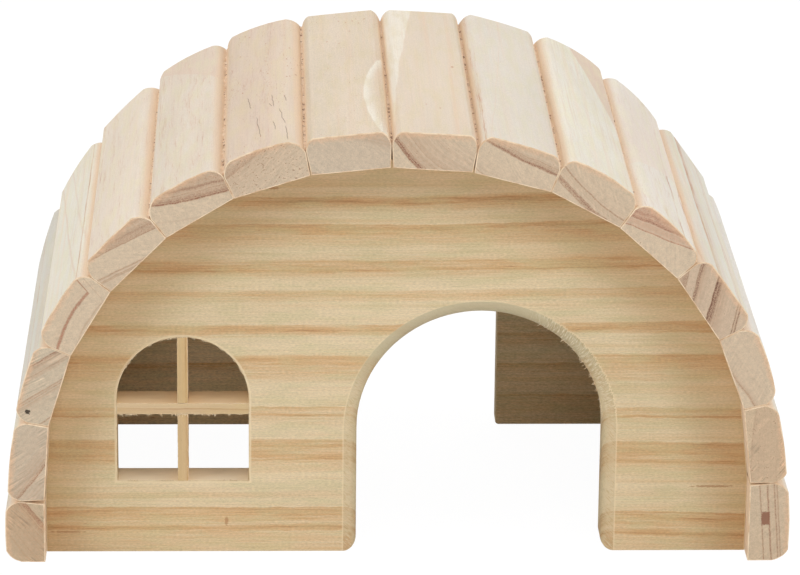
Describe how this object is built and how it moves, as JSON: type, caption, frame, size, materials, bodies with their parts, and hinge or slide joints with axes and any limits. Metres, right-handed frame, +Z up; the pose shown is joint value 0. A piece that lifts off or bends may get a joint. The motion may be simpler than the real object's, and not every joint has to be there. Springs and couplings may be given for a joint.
{
  "type": "small pet house",
  "caption": "Arched wooden house for a hamster: roof slats glued round upright end boards, with an arched door, a window with a cross and a back door.",
  "frame": {"origin": "on the floor, in the middle of the footprint", "axes": "+Z up, -Y out of the door and the window, slats along Y"},
  "size_m": [0.2136, 0.1256, 0.122],
  "materials": {
    "pine_board": "planed pine, untreated, level grain",
    "pine_slat": "sanded pale pine, untreated, grain along the slat",
    "pine_bar": "sawn pine, untreated"
  },
  "bodies": {
    "root": {"front_board": "pine_board", "back_board": "pine_board", "window_bar_upright": "pine_bar", "window_bar_level": "pine_bar", "roof_slat_01": "pine_slat", "roof_slat_02": "pine_slat", "roof_slat_03": "pine_slat", "roof_slat_04": "pine_slat", "roof_slat_05": "pine_slat", "roof_slat_06": "pine_slat", "roof_slat_07": "pine_slat", "roof_slat_08": "pine_slat", "roof_slat_09": "pine_slat", "roof_slat_10": "pine_slat", "roof_slat_11": "pine_slat", "roof_slat_12": "pine_slat", "roof_slat_13": "pine_slat", "roof_slat_14": "pine_slat", "roof_slat_15": "pine_slat", "roof_slat_16": "pine_slat"}
  },
  "joints": []
}
